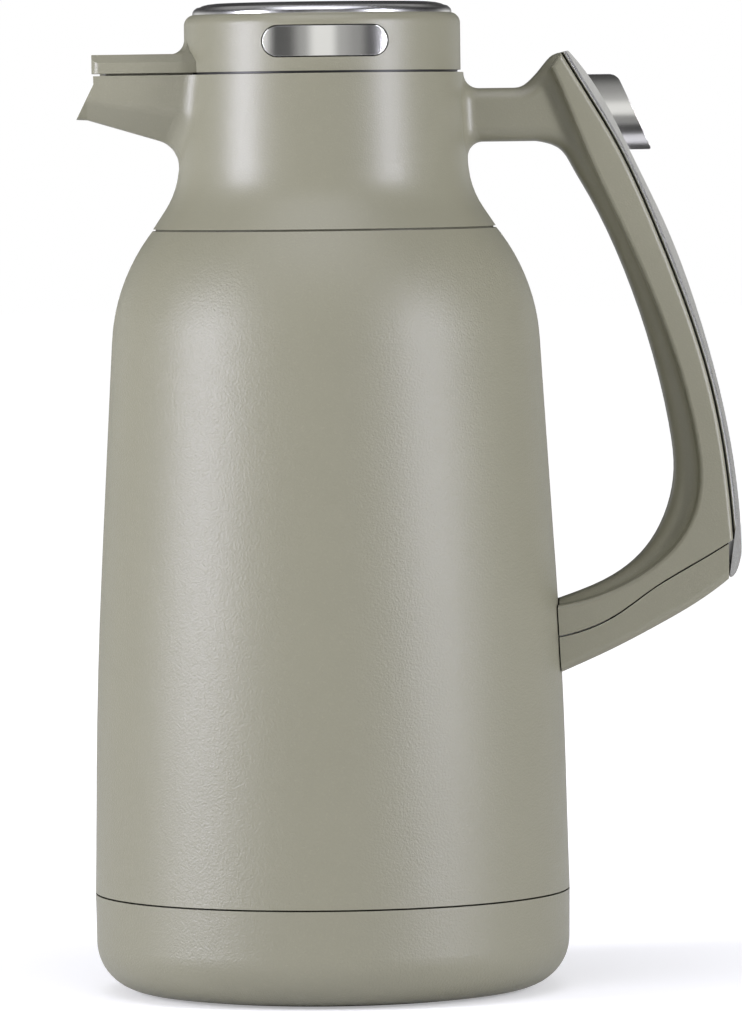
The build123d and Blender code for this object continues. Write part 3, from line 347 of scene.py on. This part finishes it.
finishes = {
    "body_paint": body_coat, "cup_paint": body_coat, "collar_paint": collar_coat,
    "steel": sheet_finish, "pad_rubber": pad_finish, "inner_plastic": plastic_finish,
    "clear_silicone": silicone_finish, "trim_steel": trim_finish, "screw_steel": wire_finish,
    "button_chrome": button_finish, "cap_steel": cap_finish, "white_plastic": acetal_finish,
    "spring_steel": wire_finish,
}

for part in frame["record"]["subparts"]:
    node = frame["nodes"][part["node"]]
    node.data.materials.clear()
    node.data.materials.append(finishes[part["material_slot"]])


# Modelled pieces

quarter_turn = math.pi / 2


def deselect():
    """Nothing selected, so that the next operator acts on its own object alone."""
    bpy.ops.object.select_all(action="DESELECT")


def select_only(piece):
    """One piece selected and active."""
    deselect()
    piece.select_set(True)
    bpy.context.view_layer.objects.active = piece


def apply_place():
    """Put the active object's turn, place and size into its mesh."""
    bpy.ops.object.transform_apply(location=True, rotation=True, scale=True)


def new_cylinder(name, radius, depth, centre, vertices, turn=(0.0, 0.0, 0.0)):
    """Round bar with its turn and place applied."""
    deselect()
    bpy.ops.mesh.primitive_cylinder_add(
        vertices=vertices, radius=radius, depth=depth, location=centre, rotation=turn)
    bar = bpy.context.object
    bar.name = name
    apply_place()
    return bar


def new_block(name, low, high):
    """Rectangular block between two corners, with its place applied."""
    deselect()
    bpy.ops.mesh.primitive_cube_add(size=1.0, location=[(a + b) / 2 for a, b in zip(low, high)])
    block = bpy.context.object
    block.name = name
    block.scale = [b - a for a, b in zip(low, high)]
    apply_place()
    return block


def object_mode():
    """Back from edit mode."""
    bpy.ops.object.mode_set(mode="OBJECT")


def select_parts(piece, kind, chosen):
    """Edit mode with only the chosen faces, edges or vertices selected."""
    select_only(piece)
    bpy.ops.object.mode_set(mode="EDIT")
    bpy.ops.mesh.select_mode(type=kind)
    bpy.ops.mesh.select_all(action="DESELECT")
    object_mode()
    mesh = piece.data
    parts = {"FACE": mesh.polygons, "EDGE": mesh.edges, "VERT": mesh.vertices}[kind]
    for part in parts:
        part.select = chosen(mesh, part)
    bpy.ops.object.mode_set(mode="EDIT")


def apply_modifier(piece, kind, **settings):
    """Add one modifier and apply it."""
    select_only(piece)
    modifier = piece.modifiers.new(kind.lower(), kind)
    for name, value in settings.items():
        setattr(modifier, name, value)
    bpy.ops.object.modifier_apply(modifier=modifier.name)


def combine(piece, other, operation):
    """Boolean with another solid, which is then deleted."""
    apply_modifier(piece, "BOOLEAN", operation=operation, solver="EXACT", object=other)
    deselect()
    other.select_set(True)
    bpy.ops.object.delete()


def smooth(piece, degrees):
    """Smooth shading over edges flatter than an angle."""
    select_only(piece)
    bpy.ops.object.shade_smooth_by_angle(angle=math.radians(degrees))


def finished(piece, body, node, material):
    """Give a piece its finish and let it stand for a CAD node on the body that it rides."""
    piece.data.materials.clear()
    piece.data.materials.append(material)
    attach(piece, body)
    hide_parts(node)


def middle_of(mesh, edge):
    """Middle of an edge."""
    first, second = (mesh.vertices[index].co for index in edge.vertices)
    return (first + second) / 2


def make_cap():
    """Spun steel cap: a rounded edge, a fine groove inside it and a shallow dome."""
    side_height = 0.0008
    steps_millimetres = [
        (0.15, 0.50), (0.40, 0.55), (0.80, 0.60), (0.25, -0.12), (0.25, 0.12), (1.20, 0.55),
        (1.50, 0.35), (2.00, 0.22), (3.00, 0.03), (8.00, 0.0)]
    low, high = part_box("lid_top_cap")
    centre = (0, 0, low.z + side_height / 2)
    cap = new_cylinder("spun_cap", high.x, side_height, centre, vertices=192)
    select_parts(cap, "FACE", lambda mesh, face: face.normal.z > 0.9)
    for inwards, upwards in steps_millimetres:
        bpy.ops.mesh.inset(thickness=inwards / 1000, depth=upwards / 1000)
    object_mode()
    smooth(cap, 60)
    finished(cap, "lid", "lid_top_cap", cap_finish)


def make_pill(name, body, node):
    """Polished release button: a shell of the lid's round side, cut to a slot shape with rounded edges."""
    low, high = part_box(node)
    side = -1 if low.y < 0 else 1
    radius = max(abs(low.y), abs(high.y))
    thickness = 0.00115
    tube_height, bore_height = 0.02, 0.03
    bar_near, bar_far = 0.025, 0.045
    bar_middle = side * (bar_near + bar_far) / 2
    # A little under half the height, so that the two roundings of an end don't meet
    end_rounding = (high.z - low.z) * 0.499
    centre = (0, 0, (low.z + high.z) / 2)
    pill = new_cylinder(name, radius, tube_height, centre, vertices=360)
    bore = new_cylinder("bore", radius - thickness, bore_height, centre, vertices=360)
    combine(pill, bore, "DIFFERENCE")
    bar_low_y, bar_high_y = sorted((side * bar_near, side * bar_far))
    bar = new_block("bar", (low.x, bar_low_y, low.z), (high.x, bar_high_y, high.z))
    select_parts(bar, "EDGE", lambda mesh, edge: abs(middle_of(mesh, edge).y - bar_middle) < 0.001)
    bpy.ops.mesh.bevel(offset=end_rounding, segments=16, affect="EDGES")
    object_mode()
    combine(pill, bar, "INTERSECT")
    smooth(pill, 40)
    apply_modifier(pill, "BEVEL", width=0.0006, segments=4, limit_method="ANGLE",
                   angle_limit=math.radians(50), harden_normals=True)
    finished(pill, body, node, button_finish)


def make_thumb():
    """Thumb button: a leaning block with a rounded top corner and crowned flanks."""
    depth = 0.0096
    lean = 0.0050
    crown = 0.0010
    top_rounding = 0.0022
    low_rounding = 0.0008
    drum_length = 0.05
    box_low, box_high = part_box("thumb_button")
    low = Vector((box_low.x + lean, box_low.y, box_low.z))
    high = Vector((box_low.x + lean + depth, box_high.y, box_high.z))
    centre = (low + high) / 2
    thumb = new_block("thumb_key", low, high)
    for level, push in ((high.z, -lean), (low.z, lean)):
        select_parts(thumb, "VERT", lambda mesh, corner: abs(corner.co.z - level) < 0.0001)
        bpy.ops.transform.translate(value=(push, 0, 0))
        object_mode()
    outer_edges = (
        (Vector((high.x - lean, 0, high.z)), top_rounding, 8),
        (Vector((high.x + lean, 0, low.z)), low_rounding, 4))
    for place, rounding, segments in outer_edges:
        select_parts(thumb, "EDGE", lambda mesh, edge: (middle_of(mesh, edge) - place).length < 0.0002)
        bpy.ops.mesh.bevel(offset=rounding, segments=segments, affect="EDGES")
        object_mode()
    half_height = (high.z - low.z) / 2
    drum_radius = (half_height ** 2 + crown ** 2) / (2 * crown)
    for side in (-1, 1):
        drum_centre = (centre.x, side * (high.y - drum_radius), centre.z)
        drum = new_cylinder(
            "drum", drum_radius, drum_length, drum_centre, vertices=720, turn=(0, quarter_turn, 0))
        combine(thumb, drum, "INTERSECT")
    smooth(thumb, 35)
    apply_modifier(thumb, "BEVEL", width=0.00035, segments=3, limit_method="ANGLE",
                   angle_limit=math.radians(40), harden_normals=True)
    finished(thumb, "thumb", "thumb_button", button_finish)


def make_spring(name, node, body, thickness, turns, along, turn):
    """Coil spring in the place of a CAD spring, attached to the body that carries it."""
    wire_sides = 14
    steps_per_turn = 28
    low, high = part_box(node)
    middle = (low + high) / 2
    size = high - low
    length = abs(size.dot(along))
    across = (size.x + size.y + size.z - length) / 2
    fixed_end = middle - along * (length / 2)
    deselect()
    bpy.ops.mesh.primitive_circle_add(
        vertices=wire_sides, radius=thickness / 2, rotation=(quarter_turn, 0, 0),
        location=((across - thickness) / 2, 0, thickness / 2))
    spring = bpy.context.object
    spring.name = name
    apply_place()
    apply_modifier(spring, "SCREW", axis="Z", steps=steps_per_turn, render_steps=steps_per_turn,
                   iterations=turns, screw_offset=(length - thickness) / turns)
    select_parts(spring, "EDGE", lambda mesh, edge: False)
    bpy.ops.mesh.select_non_manifold()
    bpy.ops.mesh.fill_holes(sides=0)
    bpy.ops.mesh.select_all(action="SELECT")
    bpy.ops.mesh.normals_make_consistent(inside=False)
    object_mode()
    spring.rotation_euler = turn
    spring.location = fixed_end
    select_only(spring)
    apply_place()
    smooth(spring, 50)
    finished(spring, body, node, wire_finish)
    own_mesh(spring)


make_cap()
make_pill("release_pill_front", "release_front", "release_button_front")
make_pill("release_pill_back", "release_back", "release_button_back")
make_thumb()
make_spring("button_spring", "thumb_spring", "thumb",
            thickness=0.0008, turns=6, along=Vector((1, 0, 0)), turn=(0, quarter_turn, 0))
make_spring("pour_spring", "valve_spring", "valve",
            thickness=0.0008, turns=4, along=Vector((0, 0, 1)), turn=(0, 0, 0))
make_spring("latch_spring_front", "release_spring_front", "release_front",
            thickness=0.0007, turns=4, along=Vector((0, -1, 0)), turn=(quarter_turn, 0, 0))
make_spring("latch_spring_back", "release_spring_back", "release_back",
            thickness=0.0007, turns=4, along=Vector((0, 1, 0)), turn=(-quarter_turn, 0, 0))


# Studio

def soft_box(name, azimuth, height, width, tall, power, distance=1.5, aim_height=0.16):
    """Rectangular soft light; its azimuth is in degrees from the camera's side towards the handle."""
    lamp = bpy.data.lights.new(name, "AREA")
    lamp.shape = "RECTANGLE"
    lamp.size = width
    lamp.size_y = tall
    lamp.energy = power
    lamp.color = lamp_tint
    lit = bpy.data.objects.new(name, lamp)
    bpy.context.scene.collection.objects.link(lit)
    turn = math.radians(azimuth)
    lit.location = (distance * math.sin(turn), -distance * math.cos(turn), height)
    lit.rotation_euler = (Vector((0, 0, aim_height)) - lit.location).to_track_quat("-Z", "Y").to_euler()
    lit.visible_camera = False


def floor_material():
    """Pale matt floor that reads white where no shadow falls; the glow is seen but lights nothing matt."""
    material, tree, shader, place = new_material("floor")
    matt_white = {"Base Color": (0.80, 0.80, 0.80, 1.0), "Roughness": 0.9, "Specular IOR Level": 0.0}
    for name, value in matt_white.items():
        shader.inputs[name].default_value = value
    far = add_node(tree, "ShaderNodeVectorMath", operation="LENGTH")
    wire(tree, place, far.inputs[0])
    level = add_node(tree, "ShaderNodeMapRange", {
        "From Min": 0.12, "From Max": 0.9, "To Min": near_glow, "To Max": far_glow})
    wire(tree, far.outputs["Value"], level.inputs["Value"])
    glow = add_node(tree, "ShaderNodeEmission")
    wire(tree, level.outputs["Result"], glow.inputs["Strength"])
    both = add_node(tree, "ShaderNodeAddShader")
    wire(tree, shader.outputs["BSDF"], both.inputs[0])
    wire(tree, glow.outputs["Emission"], both.inputs[1])
    rays = add_node(tree, "ShaderNodeLightPath")
    seen = add_node(tree, "ShaderNodeMixShader")
    wire(tree, rays.outputs["Is Camera Ray"], seen.inputs[0])
    wire(tree, shader.outputs["BSDF"], seen.inputs[1])
    wire(tree, both.outputs["Shader"], seen.inputs[2])
    end = next(node for node in tree.nodes if node.type == "OUTPUT_MATERIAL")
    wire(tree, seen.outputs["Shader"], end.inputs["Surface"])
    return material


def make_floor():
    """Wide round floor under the base."""
    deselect()
    bpy.ops.mesh.primitive_circle_add(
        vertices=96, radius=9.0, fill_type="NGON", location=(0, 0, cad_low.z))
    floor = bpy.context.object
    floor.name = "floor"
    apply_place()
    floor.data.materials.append(floor_material())


def make_flag(name, near, far):
    """Dark card on the floor before the object, seen only in reflections."""
    width = 1.1
    lift = 0.002
    deselect()
    bpy.ops.mesh.primitive_plane_add(size=1.0, location=(0, -(near + far) / 2, cad_low.z + lift))
    card = bpy.context.object
    card.name = name
    card.scale = (width, far - near, 1.0)
    apply_place()
    card.data.materials.append(plastic_finish)
    for ray in ("visible_camera", "visible_diffuse", "visible_shadow", "visible_transmission"):
        setattr(card, ray, False)


def ramp(tree, value, stops):
    """Smooth level that follows stops of position and level."""
    node = tree.nodes.new("ShaderNodeValToRGB")
    node.color_ramp.interpolation = "EASE"
    first, last = node.color_ramp.elements
    first.position, last.position = stops[0][0], stops[-1][0]
    first.color = (*(stops[0][1],) * 3, 1.0)
    last.color = (*(stops[-1][1],) * 3, 1.0)
    for position, level in stops[1:-1]:
        node.color_ramp.elements.new(position).color = (*(level,) * 3, 1.0)
    wire(tree, value, node.inputs["Fac"])
    return node.outputs["Color"]


def make_world():
    """Even light for matt surfaces, white to the camera, and bright and dark walls in reflections."""
    world = bpy.data.worlds.new("studio")
    bpy.context.scene.world = world
    world.use_nodes = True
    tree = world.node_tree
    tree.nodes.clear()
    place = add_node(tree, "ShaderNodeTexCoord")
    split = add_node(tree, "ShaderNodeSeparateXYZ")
    wire(tree, place.outputs["Generated"], split.inputs["Vector"])
    front = add_node(tree, "ShaderNodeMath", {1: -1.0}, operation="MULTIPLY")
    wire(tree, split.outputs["Y"], front.inputs[0])
    around = add_node(tree, "ShaderNodeMath", operation="ARCTAN2")
    wire(tree, split.outputs["X"], around.inputs[0])
    wire(tree, front.outputs["Value"], around.inputs[1])
    share = add_node(tree, "ShaderNodeMath", {1: 1 / (2 * math.pi), 2: 0.5}, operation="MULTIPLY_ADD")
    wire(tree, around.outputs["Value"], share.inputs[0])
    walls = ramp(tree, share.outputs["Value"], [(0.5 + turn / 360, level) for turn, level in wall_levels])
    height = ramp(tree, split.outputs["Z"], height_levels)
    room = add_node(tree, "ShaderNodeMix", {"Factor": 1.0}, data_type="RGBA", blend_type="MULTIPLY")
    wire(tree, walls, room.inputs[mix_first])
    wire(tree, height, room.inputs[mix_second])
    light = add_node(tree, "ShaderNodeBackground", {"Color": (1.0, 1.0, 1.0, 1.0), "Strength": room_light})
    mirrored = add_node(tree, "ShaderNodeBackground", {"Strength": 1.0})
    wire(tree, room.outputs[mix_result], mirrored.inputs["Color"])
    white = add_node(tree, "ShaderNodeBackground", {"Color": (1.0, 1.0, 1.0, 1.0), "Strength": 1.0})
    rays = add_node(tree, "ShaderNodeLightPath")
    shiny = add_node(tree, "ShaderNodeMixShader")
    wire(tree, rays.outputs["Is Glossy Ray"], shiny.inputs[0])
    wire(tree, light.outputs["Background"], shiny.inputs[1])
    wire(tree, mirrored.outputs["Background"], shiny.inputs[2])
    seen = add_node(tree, "ShaderNodeMixShader")
    wire(tree, rays.outputs["Is Camera Ray"], seen.inputs[0])
    wire(tree, shiny.outputs["Shader"], seen.inputs[1])
    wire(tree, white.outputs["Background"], seen.inputs[2])
    end = add_node(tree, "ShaderNodeOutputWorld")
    wire(tree, seen.outputs["Shader"], end.inputs["Surface"])


def make_camera():
    """Long lens a little above the shoulder, turned and rolled as in the photograph."""
    image_height = 1024
    millimetres_per_pixel = 0.2938
    distance = 2.4
    eye_height = 0.253
    yaw = math.radians(1.56)
    roll = 0.0123
    aim = Vector((0.01263, 0.0, 0.1403))
    lens_pixels = distance * 1000 / millimetres_per_pixel
    camera_data = bpy.data.cameras.new("camera")
    camera_data.sensor_width = 36.0
    camera_data.lens = lens_pixels * camera_data.sensor_width / image_height
    camera_data.clip_start = 0.05
    camera_data.clip_end = 50.0
    camera = bpy.data.objects.new("camera", camera_data)
    bpy.context.scene.collection.objects.link(camera)
    eye = Vector((aim.x - distance * math.sin(yaw), -distance * math.cos(yaw), eye_height))
    back = (eye - aim).normalized()
    up = Vector((roll, 0.0, 1.0))
    right = up.cross(back).normalized()
    up = back.cross(right)
    turn = Matrix((right, up, back)).transposed().to_4x4()
    camera.matrix_world = Matrix.Translation(eye) @ turn
    bpy.context.scene.camera = camera


make_floor()
make_flag("far_flag", near=1.15, far=2.10)
make_flag("near_flag", near=0.40, far=0.80)
make_world()
soft_box("left_box", azimuth=-68, height=0.36, width=0.42, tall=0.95, power=31.0)
# Two boxes, one above the other: the gap between them keeps the end of the pill dark
soft_box("right_low_box", azimuth=53, height=0.06, width=0.22, tall=0.35, power=11.0)
soft_box("right_high_box", azimuth=53, height=0.60, width=0.22, tall=0.48, power=14.5)
soft_box("top_box", azimuth=-10, height=1.5, width=1.2, tall=1.2, power=9.0, distance=0.5,
         aim_height=0.15)
make_camera()

bpy.context.scene.view_settings.view_transform = "Standard"
